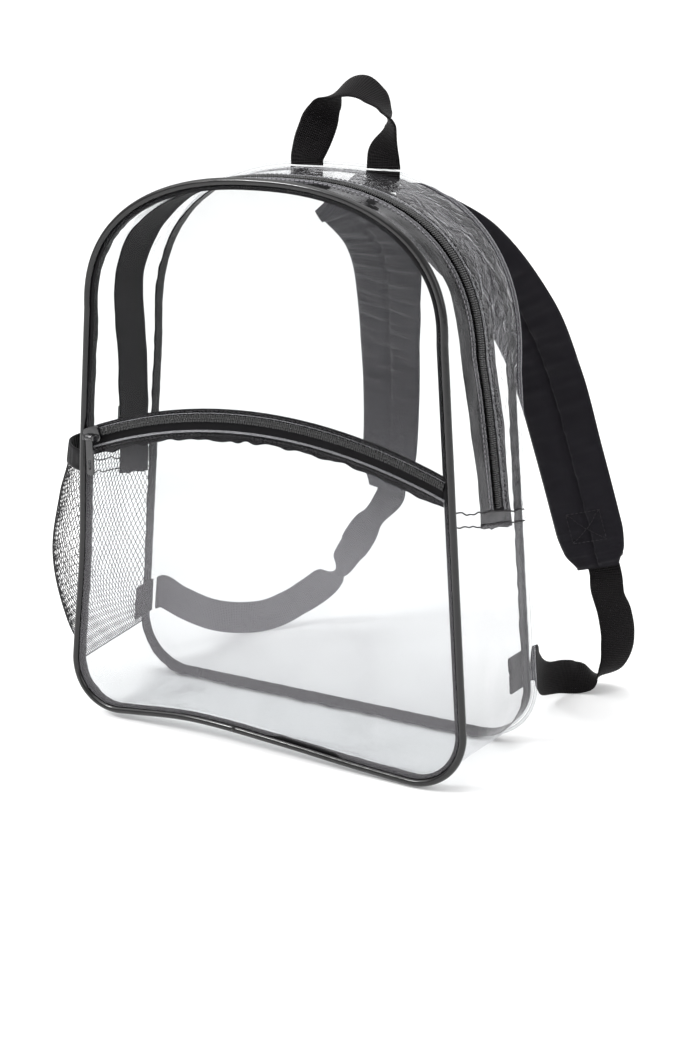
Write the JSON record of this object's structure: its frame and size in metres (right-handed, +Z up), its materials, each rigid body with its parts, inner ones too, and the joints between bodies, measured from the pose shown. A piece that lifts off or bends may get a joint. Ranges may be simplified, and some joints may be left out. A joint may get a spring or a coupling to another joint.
{
  "type": "clear backpack",
  "caption": "Clear vinyl backpack with black piping, a zipper over its top, an arched front pocket, a net side pocket, a webbing handle and padded shoulder straps.",
  "frame": {"origin": "middle of the flat base, on the surface that the bag stands on", "axes": "+Z up, -Y towards the front with the pocket, +X to the right seen from the front"},
  "size_m": [0.3854, 0.2585, 0.4466],
  "materials": {
    "clear_vinyl": "clear, soft and glossy, with faint waves",
    "black_piping": "glossy black vinyl over a cord",
    "black_tape": "woven tape",
    "zip_teeth": "moulded nylon coil",
    "black_enamel": "black enamel",
    "black_net": "knitted net",
    "black_elastic": "ribbed elastic",
    "black_webbing": "ribbed woven webbing",
    "pad_fabric": "plain woven nylon over foam",
    "black_acetal": "moulded, half gloss"
  },
  "bodies": {
    "bag": {"front_panel_upper": "clear_vinyl", "front_panel_lower": "clear_vinyl", "pocket_back_sheet": "clear_vinyl", "back_panel": "clear_vinyl", "gusset_front_strip": "clear_vinyl", "gusset_rear_strip": "clear_vinyl", "gusset_base": "clear_vinyl", "front_piping": "black_piping", "back_seam_edge": "clear_vinyl", "front_seam_binding": "black_tape", "back_seam_binding": "black_tape", "main_zip_tape": "black_tape", "main_zip_coil": "zip_teeth", "main_zip_slider": "black_enamel", "pocket_zip_tape": "black_tape", "pocket_zip_coil": "zip_teeth", "pocket_zip_slider": "black_enamel", "side_pocket_net": "black_net", "side_pocket_band": "black_elastic", "grab_handle": "black_webbing", "shoulder_pad_right": "pad_fabric", "ladder_lock_right": "black_acetal", "strap_webbing_right": "black_webbing", "strap_tail_right": "black_webbing", "shoulder_pad_left": "pad_fabric", "ladder_lock_left": "black_acetal", "strap_webbing_left": "black_webbing", "strap_tail_left": "black_webbing"},
    "pocket_pull": {"pocket_zip_pull": "black_enamel"}
  },
  "joints": [
    {"name": "pocket_pull_swing", "type": "hinge", "parent": "bag", "child": "pocket_pull", "pos_m": [-0.12924, -0.05333, 0.20674], "axis": [-1, 0, 0], "range_deg": [0, 150]}
  ]
}
